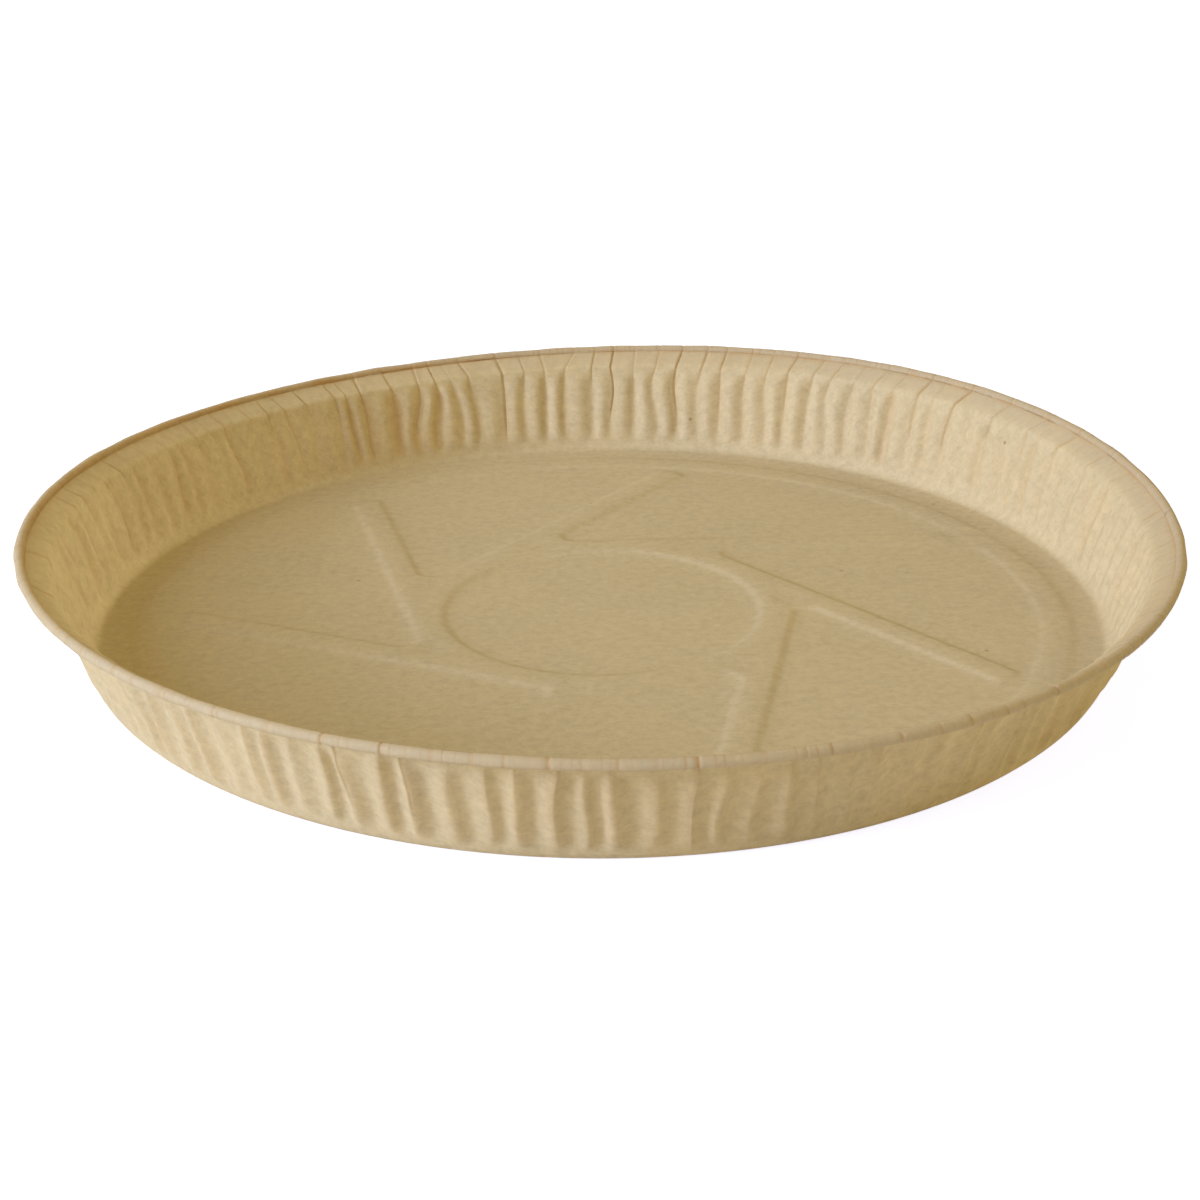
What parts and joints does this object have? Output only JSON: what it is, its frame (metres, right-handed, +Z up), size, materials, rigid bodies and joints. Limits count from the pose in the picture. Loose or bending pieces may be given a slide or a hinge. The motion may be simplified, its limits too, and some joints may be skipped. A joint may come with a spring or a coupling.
{
  "type": "pressed paperboard baking dish",
  "caption": "Shallow round kraft-paperboard baking dish, pressed in one piece: pleated sloping wall, plain shoulder, rolled rim and a floor with raised ribs and a ring.",
  "frame": {"origin": "centre of the underside, on the table plane", "axes": "+Z up out of the open side, along the dish's axis; +X to the right and +Y to the back, as the picture shows it"},
  "size_m": [0.28, 0.28, 0.029],
  "materials": {
    "kraft_board": "unbleached pressed kraft board, soft satin"
  },
  "bodies": {
    "root": {"dish": "kraft_board"}
  },
  "joints": []
}
